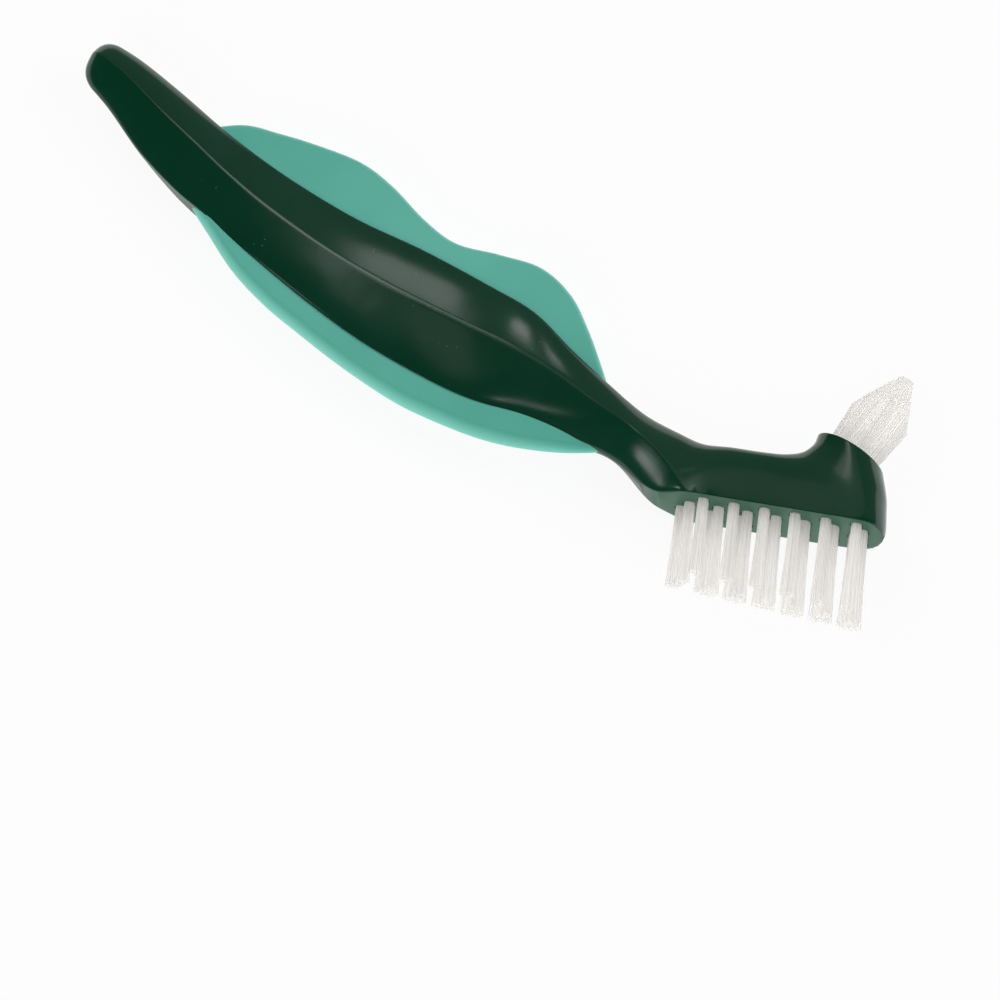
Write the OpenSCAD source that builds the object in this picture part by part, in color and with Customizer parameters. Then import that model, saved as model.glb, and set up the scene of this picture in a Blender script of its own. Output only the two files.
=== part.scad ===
// Denture brush lying on its side: a moulded plastic handle with a soft rubber grip,
// a flat field of tufts under the head and a pointed cluster of tufts in the boss above it.
// X runs from the tail to the head, Y points to the back of the brush, Z is up.
// The origin is under the middle of the brush, on the surface that it lies on.

/* [Handle] */
// Length of the bare tail behind the rubber
tail_length = 28; // [22:0.5:36]
// Length of the stretch that carries the rubber
grip_length = 94; // [84:1:106]
// Length of the neck between the rubber and the head
neck_length = 20.6; // [18:0.2:26]
// Height of the spine at the middle of the grip
spine_height = 22; // [19:0.2:24]
// Thickness of the spine, ridge to ridge
spine_thickness = 13.5; // [11:0.1:15]
// How far the middle of the spine sags below the tip of the tail
spine_sag = 10; // [7:0.2:12]
// Radius of the rounded end of the tail
tail_round = 4.5; // [3:0.1:6]

/* [Head] */
// Length of the flat face that holds the tufts
face_length = 43.4; // [42.6:0.2:50]
// Width of that face
face_width = 13.5; // [12.5:0.1:15]
// Angle between the face and the length of the brush
face_angle = 23; // [16:0.5:28]
// How far the front of the face starts below the tip of the tail
face_drop = 14.8; // [12:0.2:17]
// Depth of the head above the face
head_depth = 12; // [10:0.2:14]
// Height of the mouth of the boss above the face, at its middle
boss_height = 15.2; // [14:0.2:18]
// Length of the mouth of the boss along the brush
boss_length = 14.5; // [13.4:0.1:15]

/* [Rubber grip] */
// Thickness of the rubber blade
blade_thickness = 5.8; // [4.8:0.1:6.4]
// How far the rubber laps over the edge of the plastic
blade_lap = 0.3; // [0.2:0.05:0.5]
// How far the humps of the blade stand above the middle of the spine
hump_reach = 20.6; // [18:0.2:23]
// How far the belly of the blade hangs below the middle of the spine
belly_reach = 16.5; // [15:0.2:19]
// Radius of the rounded edge of the blade
blade_edge_r = 1.6; // [1:0.1:2]
// Diameter of the rubber bridges that pass through the spine
bridge_d = 3.6; // [2.5:0.1:4.2]

/* [Tufts] */
// Distance between two tufts of the near row
outer_pitch = 5.75; // [5.5:0.05:6]
// Distance between two tufts of the other rows
inner_pitch = 5.4; // [5.3:0.02:5.5]
// Distance between two rows
row_spacing = 2.65; // [2.6:0.05:2.8]
// Diameter of the holes in the face
hole_d = 2.45; // [2.2:0.05:2.5]
// Depth of the holes in the face
hole_depth = 4.5; // [3.5:0.1:5.5]
// How far the tufts lean from square to the face towards the front of the head
tuft_lean = 4; // [0:0.5:6]
// How far the middle of the outer rows stands out of the face
outer_tuft_length = 16; // [12:0.2:20]
// How far the middle of the inner rows stands out of the face
inner_tuft_length = 17.2; // [12:0.2:22]
// How much longer the tufts get for each millimetre towards the front
trim_rise = 0.08; // [0:0.01:0.12]
// Gap between a bundle of bristles and the wall of its hole
tuft_clearance = 0.12; // [0.1:0.01:0.25]
// How far the trimmed ends of one tuft differ
trim_spread = 0.5; // [0:0.1:1]

/* [Pointed tuft] */
// Diameter of the holes in the boss
point_hole_d = 3; // [2.6:0.1:3.2]
// Depth of the holes in the boss
point_hole_depth = 6; // [5:0.1:7]
// Radius of the ring of holes in the boss
point_ring_r = 3.8; // [3.6:0.05:4.1]
// How far the point stands out of the boss
point_length = 19; // [15:0.5:24]
// How far the straight part of the pointed cluster stands out of the boss
point_shoulder = 9.5; // [7:0.5:12]
// Diameter of the blunt end of the point
point_tip_d = 2.7; // [2:0.1:4]

/* [Staples] */
// Thickness of a staple
staple_thickness = 0.3; // [0.2:0.05:0.4]
// Height of a staple
staple_height = 1.6; // [1.2:0.1:2]
// How far a staple bites into the plastic on each side of its hole
staple_bite = 0.2; // [0.1:0.05:0.25]

/* [Hidden] */
green = [0.04, 0.24, 0.15];
teal = [0.33, 0.67, 0.59];
nylon = [0.88, 0.88, 0.86];
brass = [0.75, 0.62, 0.35];

// Fineness of the lofts: steps between two stations, points in a quarter of a section,
// rings on the rounded tail and points round the edge of the blade
loft_steps = 4;
quarter_steps = 6;
tip_steps = 5;
edge_steps = 4;
$fn = 32;

grip_start = tail_length;
neck_start = grip_start + grip_length;
face_start = neck_start + neck_length;
// The face begins this far before the straight part of its edge
face_lead = 7.7;
face_end = face_length - face_lead;
face_middle = face_length / 2 - face_lead;

// A point of the head: u along the face, v above it
function head_point(u, v) = [
    face_start + u * cos(face_angle) - v * sin(face_angle),
    -face_drop + u * sin(face_angle) + v * cos(face_angle)
];

// The mouth of the boss stands square to the length of the brush
mouth = head_point(face_end - 8.1, boss_height);
mouth_back = mouth - [boss_length / 2, 0];
mouth_front = mouth + [boss_length / 2, 0];

// Stations of the spine. Zone 0 to 1 is the tail, 1 to 2 the grip, 2 to 3 the neck.
// Each row: zone, sag of the middle, height, place of the ridge between back and front,
// thickness, half width of the flat under the rubber, roundness of the back and the front.
// Sag, height, thickness and flat are shares of the spine's own sizes.
spine_rows = [
    [0.00, -0.16, 0.39, 0.48, 0.60, 0.05, 2, 1.5],
    [0.29, -0.02, 0.51, 0.47, 0.68, 0.05, 1.9, 1.3],
    [0.64, 0.27, 0.65, 0.47, 0.73, 0.10, 1.6, 1.2],
    [1.00, 0.545, 0.70, 0.45, 0.75, 0.40, 1.35, 1.15],
    [1.08, 0.69, 0.71, 0.48, 0.80, 0.65, 1.25, 1.15],
    [1.19, 0.87, 0.76, 0.49, 0.86, 0.90, 1.2, 1.15],
    [1.34, 1.00, 0.86, 0.50, 0.95, 1.00, 1.2, 1.15],
    [1.49, 1.00, 0.99, 0.50, 0.99, 1.00, 1.2, 1.15],
    [1.64, 0.96, 1.01, 0.47, 0.99, 1.00, 1.2, 1.15],
    [1.745, 0.90, 0.96, 0.45, 0.96, 0.95, 1.25, 1.2],
    [1.85, 0.88, 0.72, 0.42, 0.87, 0.80, 1.4, 1.25],
    [1.957, 0.91, 0.57, 0.44, 0.79, 0.50, 1.6, 1.35],
    [2.20, 0.93, 0.495, 0.46, 0.74, 0.10, 1.7, 1.4]
];

function zone_x(z) =
    z < 1 ? z * tail_length
    : z < 2 ? grip_start + (z - 1) * grip_length
    : neck_start + (z - 2) * neck_length;

flat_half = blade_thickness / 2 - blade_lap;

// A station of the loft is a list: back point, front point, place of the ridge between them,
// half thickness, half widths of the flats and roundness of the sides, back before front
function station(back, front, ridge, thickness, flats, roundness) = [
    back[0], back[1], front[0], front[1], ridge, thickness / 2,
    flats[0], flats[1], roundness[0], roundness[1]
];

function spine_station(r) =
    let (
        x = zone_x(r[0]),
        middle = -r[1] * spine_sag,
        half = r[2] * spine_height / 2,
        flat = r[5] * flat_half
    )
    station([x, middle + half], [x, middle - half], r[3], r[4] * spine_thickness,
            [flat, flat], [r[6], r[7]]);

// The head turns from the neck over the flat face and up into the boss.
// The stations run on under the face by face_spare, and their points are then lifted to it.
face_spare = 1.1;
sole_flat = face_width * 0.47;
head_stations = [
    station(head_point(-3.9, head_depth + 1.9), head_point(-6.4, -0.2),
            0.58, face_width * 0.87, [0.3, 3.3], [1.8, 1.1]),
    station(head_point(0.7, head_depth + 0.2), head_point(0.2, -face_spare),
            0.93, face_width, [0.4, sole_flat], [2.6, 1.5]),
    station(head_point(6, head_depth), head_point(7, -face_spare),
            0.94, face_width, [0.4, sole_flat], [3.6, 2]),
    station(head_point(11.4, head_depth), head_point(17, -face_spare),
            0.94, face_width, [0.4, sole_flat], [3.8, 2]),
    station(head_point(15.4, head_depth + 0.5), head_point(face_end - 9, -face_spare),
            0.94, face_width, [0.3, sole_flat], [3.4, 2]),
    station(head_point(18.5, head_depth + 1.8), head_point(face_end, -face_spare),
            0.8, face_width, [0.2, 0.2], [2.8, 2]),
    station(head_point(20.4, head_depth + 3.9), head_point(face_end + 0.3, head_depth / 2),
            0.6, face_width, [0.1, 0.1], [2.3, 2.1]),
    station(mouth_back, mouth_front, 0.5, face_width, [0.1, 0.1], [2, 2])
];

stations = concat([for (r = spine_rows) spine_station(r)], head_stations);

// Smooth curve through the rows of a table, with t counting rows from 0
function row_at(rows, t) =
    let (
        last = len(rows) - 1,
        i = min(floor(t), last - 1),
        f = t - i,
        a = rows[max(i - 1, 0)],
        b = rows[i],
        c = rows[i + 1],
        d = rows[min(i + 2, last)]
    )
    (2 * b + (c - a) * f + (2 * a - 5 * b + 4 * c - d) * f * f
        + (3 * b - a - 3 * c + d) * f * f * f) / 2;

// A point of a quarter section: share of the way from ridge to edge, half thickness there
function quarter(flat, half, roundness, angle) = [
    pow(cos(angle), 2 / roundness),
    flat + (half - flat) * pow(sin(angle), 2 / roundness)
];

function quarter_side(ridge, edge, flat, half, roundness) =
    [for (j = [0:quarter_steps])
        let (q = quarter(flat, half, roundness, 90 * j / quarter_steps))
        [each (ridge + q[0] * (edge - ridge)), q[1]]];

// A point below the face is lifted square to the face until it lies in it
function above_face(p) =
    let (
        depth = (p[0] - face_start) * sin(face_angle) - (p[1] + face_drop) * cos(face_angle),
        lift = p[0] > neck_start ? max(depth, 0) : 0
    )
    [p[0] - lift * sin(face_angle), p[1] + lift * cos(face_angle), p[2]];

// Near half of a section, from the back over the ridge to the front.
// The size shrinks the section about its middle.
function half_section(s, size) =
    let (
        back = [s[0], s[1]],
        front = [s[2], s[3]],
        middle = (back + front) / 2,
        ridge = back + s[4] * (front - back),
        upper = quarter_side(ridge, back, s[6], s[5], s[8]),
        lower = quarter_side(ridge, front, s[7], s[5], s[9]),
        near = concat(upper, [for (j = [quarter_steps - 1:-1:0]) lower[j]])
    )
    [for (p = near)
        above_face([middle[0] + size * (p[0] - middle[0]), middle[1] + size * (p[1] - middle[1]),
                    size * p[2]])];

// Closed ring: the near half and its mirror image on the far side
function mirrored(near) =
    concat(near, [for (j = [len(near) - 1:-1:0]) [near[j][0], near[j][1], -near[j][2]]]);

function mean(points) = [for (p = points) 1] * points / len(points);

// Closed skin over a list of rings with equal numbers of points
module skin(rings) {
    n = len(rings[0]);
    last = len(rings) - 1;
    points = concat([for (r = rings) each r], [mean(rings[0]), mean(rings[last])]);
    first_cap = n * len(rings);
    sides = [for (i = [0:last - 1], j = [0:n - 1])
        let (a = i * n + j, b = i * n + (j + 1) % n)
        each [[a, a + n, b], [b, a + n, b + n]]];
    start_cap = [for (j = [0:n - 1]) [first_cap, j, (j + 1) % n]];
    end_cap = [for (j = [0:n - 1]) [first_cap + 1, last * n + (j + 1) % n, last * n + j]];
    polyhedron(points, concat(sides, start_cap, end_cap));
}

// Rings of the rounded end of the tail, in even steps of angle
first_x = zone_x(spine_rows[1][0]);
tip_rings = [for (i = [1:tip_steps])
    let (angle = 90 * i / tip_steps, x = tail_round * (1 - cos(angle)))
    mirrored(half_section(row_at(stations, x / first_x), sin(angle)))];

// Rings of the rest of the handle, up to a chosen station
function body_rings(last) =
    [for (i = [0:last * loft_steps])
        let (t = i / loft_steps)
        if (t * first_x > tail_round + 0.5) mirrored(half_section(row_at(stations, t), 1))];

module handle_blank() {
    skin(concat(tip_rings, body_rings(len(stations) - 1)));
}

// The spine alone, with the root of the head, so that it passes both ends of the rubber
module spine_blank() {
    skin(concat(tip_rings, body_rings(len(spine_rows))));
}

// Stations of the rubber blade. Each row: share of the grip's length, upper edge, lower edge,
// thickness. The edges are shares of the hump's and the belly's reach from the spine's middle.
blade_rows = [
    [-0.045, 0.42, -0.16, 0.50],
    [0.035, 0.73, 0.20, 0.65],
    [0.11, 0.84, 0.43, 0.85],
    [0.19, 0.93, 0.65, 0.95],
    [0.28, 0.995, 0.80, 1],
    [0.36, 0.95, 0.875, 1],
    [0.45, 0.83, 0.945, 1],
    [0.53, 0.79, 0.985, 1],
    [0.615, 0.91, 1, 1],
    [0.70, 1.005, 0.95, 1],
    [0.78, 0.925, 0.87, 0.98],
    [0.85, 0.72, 0.75, 0.9],
    [0.925, 0.44, 0.565, 0.8],
    [0.985, 0.20, 0.42, 0.65],
    [1.04, 0.10, 0.12, 0.5]
];

// Near half of a blade section, from the upper edge to the lower edge
function blade_section(r) =
    let (
        x = grip_start + r[0] * grip_length,
        top = -spine_sag + r[1] * hump_reach,
        bottom = -spine_sag - r[2] * belly_reach,
        half = r[3] * blade_thickness / 2,
        round_r = min(blade_edge_r, (top - bottom) / 3)
    )
    concat(
        [for (j = [0:edge_steps])
            let (a = 90 * (j + 0.2) / (edge_steps + 0.2))
            [x, top - round_r * (1 - cos(a)), half * sin(a)]],
        [for (j = [edge_steps:-1:0])
            let (a = 90 * (j + 0.2) / (edge_steps + 0.2))
            [x, bottom + round_r * (1 - cos(a)), half * sin(a)]]
    );

module blade() {
    skin([for (i = [0:(len(blade_rows) - 1) * loft_steps])
        mirrored(blade_section(row_at(blade_rows, i / loft_steps)))]);
}

// Holes across the spine, through which the two wings of the rubber are joined
bridge_places = [0.25, 0.5, 0.75];
module bridges() {
    for (place = bridge_places)
        translate([grip_start + place * grip_length, -spine_sag, 0])
            rotate([90, 0, 0])
                cylinder(d = bridge_d, h = 2 * spine_height, center = true);
}

// Frames of the two places that hold tufts: Z points out of the plastic
tuft_angle = face_angle + tuft_lean;
module on_face(u, across) {
    root = head_point(u, 0);
    translate([root[0], root[1], across])
        rotate([0, 0, tuft_angle])
            rotate([90, 0, 0])
                children();
}

module on_boss(place) {
    translate([mouth[0] + place[0], mouth[1], place[1]])
        rotate([-90, 0, 0])
            children();
}

// Tufts of the face. Each row of holes: letter, distance from the middle in row spacings,
// pitch, first place in pitches from the start of the near row, number of tufts, length
hole_rows = [
    ["a", 1.5, outer_pitch, 0, 6, outer_tuft_length],
    ["b", 0.5, inner_pitch, -0.46, 7, inner_tuft_length],
    ["c", -0.5, inner_pitch, -0.75, 7, inner_tuft_length],
    ["d", -1.5, inner_pitch, 0.54, 6, outer_tuft_length]
];
field_start = face_middle - 2 * outer_pitch;
field_middle = field_start + 2.5 * outer_pitch;
face_tufts = [for (row = hole_rows, i = [0:row[4] - 1])
    let (u = field_start + (row[3] + i) * row[2])
    [str("tuft_", row[0], i + 1), u, row[1] * row_spacing,
     row[5] + trim_rise * (u - field_middle)]];

// The free end of a tuft of the face
function tuft_end(t) =
    head_point(t[1], 0) + t[3] * [sin(tuft_angle), -cos(tuft_angle)];

// Tufts of the boss: one in the middle and six round it
point_places = concat([[0, 0]],
    [for (k = [0:5]) [point_ring_r * cos(60 * k), point_ring_r * sin(60 * k)]]);
point_tufts = [for (i = [0:len(point_places) - 1])
    [str("point_tuft_", i + 1), point_places[i]]];

// A blind hole with the slot that its staple is driven into
module tuft_hole(d, depth) {
    translate([0, 0, -depth])
        cylinder(d = d, h = depth + 2);
    staple(d, depth);
}

module staple(d, depth) {
    translate([-d / 2 - staple_bite, -staple_thickness / 2, -depth])
        cube([d + 2 * staple_bite, staple_thickness, staple_height]);
}

// A bundle of seven strands that just overlap, with unevenly trimmed ends.
// It is folded over the staple at the floor of its hole.
module bundle(d, depth, length, seed) {
    outer_r = d / 2 - tuft_clearance;
    strand_r = 0.38 * outer_r;
    ring_r = outer_r - strand_r;
    difference() {
        union() {
            for (k = [0:6]) {
                reach = k == 0 ? 0 : ring_r;
                trim = trim_spread * (0.5 + 0.5 * sin(137 * k + 71 * seed));
                translate([reach * cos(60 * k), reach * sin(60 * k), -depth])
                    cylinder(r = strand_r, h = depth + length - trim);
            }
        }
        staple(d, depth);
    }
}

module face_tuft(i) {
    color(nylon)
        on_face(face_tufts[i][1], face_tufts[i][2])
            bundle(hole_d, hole_depth, face_tufts[i][3], i);
}

// The cone that the whole cluster in the boss is trimmed to
module point_envelope() {
    shoulder_r = point_ring_r + point_hole_d / 2 + 0.4;
    rotate_extrude()
        polygon([
            [0, -point_hole_depth],
            [shoulder_r, -point_hole_depth],
            [shoulder_r, point_shoulder],
            [point_tip_d / 2, point_length],
            [0, point_length]
        ]);
}

module point_tuft(i) {
    color(nylon)
        intersection() {
            on_boss(point_tufts[i][1])
                bundle(point_hole_d, point_hole_depth, point_length + trim_spread, i);
            on_boss([0, 0])
                point_envelope();
        }
}

module staples() {
    color(brass) {
        for (t = face_tufts)
            on_face(t[1], t[2])
                staple(hole_d, hole_depth);
        for (t = point_tufts)
            on_boss(t[1])
                staple(point_hole_d, point_hole_depth);
    }
}

module handle() {
    color(green)
        difference() {
            handle_blank();
            bridges();
            for (t = face_tufts)
                on_face(t[1], t[2])
                    tuft_hole(hole_d, hole_depth);
            for (t = point_tufts)
                on_boss(t[1])
                    tuft_hole(point_hole_d, point_hole_depth);
        }
}

module grip() {
    color(teal)
        difference() {
            blade();
            difference() {
                spine_blank();
                bridges();
            }
        }
}

// The brush lies on the ridge of its spine and on the side of its head
tuft_ends = [for (t = face_tufts) tuft_end(t)];
right_end = max([for (p = tuft_ends) p[0]]) + hole_d / 2 * cos(tuft_angle);
low_end = min([for (p = tuft_ends) p[1]]) - hole_d / 2 * sin(tuft_angle);
high_end = mouth[1] + point_length;
module lying() {
    translate([-right_end / 2, -(high_end + low_end) / 2, max(spine_thickness, face_width) / 2])
        children();
}

lying() handle();
lying() grip();
lying() staples();
for (i = [0:len(face_tufts) - 1])
    lying() face_tuft(i);
for (i = [0:len(point_tufts) - 1])
    lying() point_tuft(i);
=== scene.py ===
# %% [markdown]
# # A denture brush
#
# The real brush has four kinds of parts: a hard green plastic handle, a soft rubber grip
# moulded round it, tufts of clear nylon, and the metal staples that hold each tuft in its
# hole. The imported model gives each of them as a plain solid. This lesson dresses them:
# the two mouldings get finer skins, and each tuft becomes a bundle of single filaments.

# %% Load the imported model
import math

import bpy
import bmesh
import numpy as np
from mathutils import Matrix, Vector


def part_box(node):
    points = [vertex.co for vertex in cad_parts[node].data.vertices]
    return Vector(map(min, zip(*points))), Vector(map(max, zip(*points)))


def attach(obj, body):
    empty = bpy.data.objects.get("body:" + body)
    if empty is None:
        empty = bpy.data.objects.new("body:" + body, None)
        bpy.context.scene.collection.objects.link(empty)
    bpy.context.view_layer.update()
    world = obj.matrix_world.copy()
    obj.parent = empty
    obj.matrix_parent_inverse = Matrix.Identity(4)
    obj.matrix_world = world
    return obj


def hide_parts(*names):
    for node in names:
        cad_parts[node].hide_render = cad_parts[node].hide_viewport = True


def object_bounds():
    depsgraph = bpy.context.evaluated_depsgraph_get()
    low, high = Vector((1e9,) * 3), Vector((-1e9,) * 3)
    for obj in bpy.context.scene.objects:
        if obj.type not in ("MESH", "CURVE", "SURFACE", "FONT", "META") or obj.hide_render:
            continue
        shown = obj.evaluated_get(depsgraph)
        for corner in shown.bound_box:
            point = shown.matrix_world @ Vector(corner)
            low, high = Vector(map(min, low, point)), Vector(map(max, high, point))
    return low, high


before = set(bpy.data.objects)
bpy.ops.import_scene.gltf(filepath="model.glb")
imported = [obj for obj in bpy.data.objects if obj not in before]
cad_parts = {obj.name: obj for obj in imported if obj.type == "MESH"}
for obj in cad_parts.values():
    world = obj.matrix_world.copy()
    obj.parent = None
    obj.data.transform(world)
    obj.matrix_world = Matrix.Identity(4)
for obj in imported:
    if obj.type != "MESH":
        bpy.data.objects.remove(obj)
cad_low, cad_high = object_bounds()
print("nodes:", len(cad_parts), "size in mm:",
      [round(1000 * (b - a), 1) for a, b in zip(cad_low, cad_high)])

# %% [markdown]
# ## Sizes
#
# All shapes are worked out in millimetres, in the frame in which the brush was designed:
# X runs from the tail to the head, Y to the back of the brush, and Z = 0 is its middle
# plane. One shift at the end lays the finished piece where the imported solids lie.

# %% Driving sizes of the handle, in millimetres
MM = 0.001
TAIL_LENGTH = 28
GRIP_LENGTH = 94
NECK_LENGTH = 20.6
SPINE_HEIGHT = 22
SPINE_THICKNESS = 13.5
SPINE_SAG = 10
TAIL_ROUND = 4.5

FACE_LENGTH = 43.4
FACE_WIDTH = 13.5
FACE_ANGLE = math.radians(23)
FACE_DROP = 14.8
# How far the flat face runs back under the neck
FACE_LEAD = 7.7
HEAD_DEPTH = 12
BOSS_HEIGHT = 15.2
BOSS_LENGTH = 14.5
# Distance of the middle of the boss from the front of the face
BOSS_INSET = 8.1

BLADE_THICKNESS = 5.8
HUMP_REACH = 20.6
BELLY_REACH = 16.5
BLADE_EDGE_R = 1.6

# %% Driving sizes of the tufts, in millimetres
OUTER_PITCH = 5.75
INNER_PITCH = 5.4
ROW_SPACING = 2.65
HOLE_D = 2.45
HOLE_DEPTH = 4.5
TUFT_LEAN = math.radians(4)
OUTER_TUFT_LENGTH = 16
INNER_TUFT_LENGTH = 17.2
# How much longer a tuft gets with each millimetre towards the front
TRIM_RISE = 0.08
TUFT_CLEARANCE = 0.23

POINT_HOLE_D = 3
POINT_HOLE_DEPTH = 6
POINT_RING_R = 3.8
POINT_RING_COUNT = 6
POINT_LENGTH = 19
POINT_SHOULDER = 9.5
POINT_TIP_D = 2.7

# %% Places that follow from the sizes
GRIP_START = TAIL_LENGTH
NECK_START = GRIP_START + GRIP_LENGTH
FACE_START = NECK_START + NECK_LENGTH
FACE_END = FACE_LENGTH - FACE_LEAD
FACE_MIDDLE = FACE_LENGTH / 2 - FACE_LEAD
TUFT_ANGLE = FACE_ANGLE + TUFT_LEAN

FACE_ORIGIN = np.array([FACE_START, -FACE_DROP])
FACE_RUN = np.array([math.cos(FACE_ANGLE), math.sin(FACE_ANGLE)])
FACE_UP = np.array([-math.sin(FACE_ANGLE), math.cos(FACE_ANGLE)])


def head_point(u, v):
    """A point of the head: u along the flat face, v above it."""
    return FACE_ORIGIN + u * FACE_RUN + v * FACE_UP


MOUTH = head_point(FACE_END - BOSS_INSET, BOSS_HEIGHT)

# %% [markdown]
# ## Where every tuft stands
#
# A tuft is known by its root, the direction in which its filaments run and how far they
# stand out. The face carries four staggered rows, and the boss has one tuft in the middle
# of a ring of six. The same list gives the holes, the filaments and the place of the whole
# brush, so it comes first.

# %% List the tufts
# Each row: place across the face in row spacings, pitch, place of the first tuft in
# pitches, count, length
HOLE_ROWS = {
    "a": (1.5, OUTER_PITCH, 0, 6, OUTER_TUFT_LENGTH),
    "b": (0.5, INNER_PITCH, -0.46, 7, INNER_TUFT_LENGTH),
    "c": (-0.5, INNER_PITCH, -0.75, 7, INNER_TUFT_LENGTH),
    "d": (-1.5, INNER_PITCH, 0.54, 6, OUTER_TUFT_LENGTH),
}
FIELD_START = FACE_MIDDLE - 2 * OUTER_PITCH
FIELD_MIDDLE = FIELD_START + 2.5 * OUTER_PITCH
FACE_OUT = np.array([math.sin(TUFT_ANGLE), -math.cos(TUFT_ANGLE), 0])
FACE_ALONG = np.array([math.cos(TUFT_ANGLE), math.sin(TUFT_ANGLE), 0])
POINT_OUT = np.array([0, 1.0, 0])
POINT_ALONG = np.array([1.0, 0, 0])
ACROSS = np.array([0, 0, 1.0])


def face_tufts():
    """Name, root, length of each tuft of the face."""
    found = []
    for letter, (row, pitch, first, count, length) in HOLE_ROWS.items():
        for i in range(count):
            u = FIELD_START + (first + i) * pitch
            root = np.append(head_point(u, 0), row * ROW_SPACING)
            found.append((f"tuft_{letter}{i + 1}", root, length + TRIM_RISE * (u - FIELD_MIDDLE)))
    return found


def point_tufts():
    """Name and root of each tuft of the boss."""
    turns = [math.radians(360 / POINT_RING_COUNT * k) for k in range(POINT_RING_COUNT)]
    places = [(0, 0)]
    places += [(POINT_RING_R * math.cos(a), POINT_RING_R * math.sin(a)) for a in turns]
    return [(f"point_tuft_{i + 1}", np.array([MOUTH[0] + x, MOUTH[1], z]))
            for i, (x, z) in enumerate(places)]


FACE_TUFTS = face_tufts()
POINT_TUFTS = point_tufts()

ends = [root + length * FACE_OUT for _, root, length in FACE_TUFTS]
RIGHT_END = max(p[0] for p in ends) + HOLE_D / 2 * math.cos(TUFT_ANGLE)
LOW_END = min(p[1] for p in ends) - HOLE_D / 2 * math.sin(TUFT_ANGLE)
HIGH_END = MOUTH[1] + POINT_LENGTH
LYING = np.array([-RIGHT_END / 2, -(HIGH_END + LOW_END) / 2, SPINE_THICKNESS / 2])
print("tufts:", len(FACE_TUFTS) + len(POINT_TUFTS), "shift in mm:", LYING.round(2))

# %% [markdown]
# ## Stations of the spine
#
# The handle is one loft: a pipe whose section changes smoothly from station to station.
# Subdividing a box would need many hand-placed points to keep the crisp ridge along the
# side. A table of stations keeps it with a few numbers each, and a smooth curve through
# the table fills in the rest.

# %% Station tables
# Zone 0 to 1 is the tail, 1 to 2 the grip, 2 to 3 the neck. Each row: zone, sag, height,
# place of the ridge, thickness, half width of the flat, roundness of the back and front.
SPINE_ROWS = [
    (0.00, -0.16, 0.39, 0.48, 0.60, 0.05, 2, 1.5),
    (0.29, -0.02, 0.51, 0.47, 0.68, 0.05, 1.9, 1.3),
    (0.64, 0.27, 0.65, 0.47, 0.73, 0.10, 1.6, 1.2),
    (1.00, 0.545, 0.70, 0.45, 0.75, 0.40, 1.35, 1.15),
    (1.08, 0.69, 0.71, 0.48, 0.80, 0.65, 1.25, 1.15),
    (1.19, 0.87, 0.76, 0.49, 0.86, 0.90, 1.2, 1.15),
    (1.34, 1.00, 0.86, 0.50, 0.95, 1.00, 1.2, 1.15),
    (1.49, 1.00, 0.99, 0.50, 0.99, 1.00, 1.2, 1.15),
    (1.64, 0.96, 1.01, 0.47, 0.99, 1.00, 1.2, 1.15),
    (1.745, 0.90, 0.96, 0.45, 0.96, 0.95, 1.25, 1.2),
    (1.85, 0.88, 0.72, 0.42, 0.87, 0.80, 1.4, 1.25),
    (1.957, 0.91, 0.57, 0.44, 0.79, 0.50, 1.6, 1.35),
    (2.20, 0.93, 0.495, 0.46, 0.74, 0.10, 1.7, 1.4),
]
# Each row: share of the grip's length, upper edge, lower edge, thickness
BLADE_ROWS = [
    (-0.045, 0.42, -0.16, 0.50),
    (0.035, 0.73, 0.20, 0.65),
    (0.11, 0.84, 0.43, 0.85),
    (0.19, 0.93, 0.65, 0.95),
    (0.28, 0.995, 0.80, 1),
    (0.36, 0.95, 0.875, 1),
    (0.45, 0.83, 0.945, 1),
    (0.53, 0.79, 0.985, 1),
    (0.615, 0.91, 1, 1),
    (0.70, 1.005, 0.95, 1),
    (0.78, 0.925, 0.87, 0.98),
    (0.85, 0.72, 0.75, 0.9),
    (0.925, 0.44, 0.56, 0.75),
    (0.985, 0.20, 0.36, 0.5),
    (1.04, 0.10, 0.12, 0.5),
]
# The plastic ends beside the rubber in a low lip, which stands a little out of it
LIP = 0.35
FLAT_HALF = BLADE_THICKNESS / 2 + LIP


def zone_x(zone):
    """Place along the brush of a zone number."""
    if zone < 1:
        return zone * TAIL_LENGTH
    if zone < 2:
        return GRIP_START + (zone - 1) * GRIP_LENGTH
    return NECK_START + (zone - 2) * NECK_LENGTH


def station(back, front, ridge, thickness, flats, roundness, crisp=0):
    """One row of numbers for a section, so that a curve can run through the rows."""
    return [*back, *front, ridge, thickness / 2, *flats, *roundness, crisp]


def spine_station(zone, sag, height, ridge, thickness, flat, back_round, front_round):
    """Station of the spine, from a row of its table."""
    x = zone_x(zone)
    middle = -sag * SPINE_SAG
    half = height * SPINE_HEIGHT / 2
    flat *= FLAT_HALF
    return station((x, middle + half), (x, middle - half), ridge,
                   thickness * SPINE_THICKNESS, (flat, flat), (back_round, front_round), 1)


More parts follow.
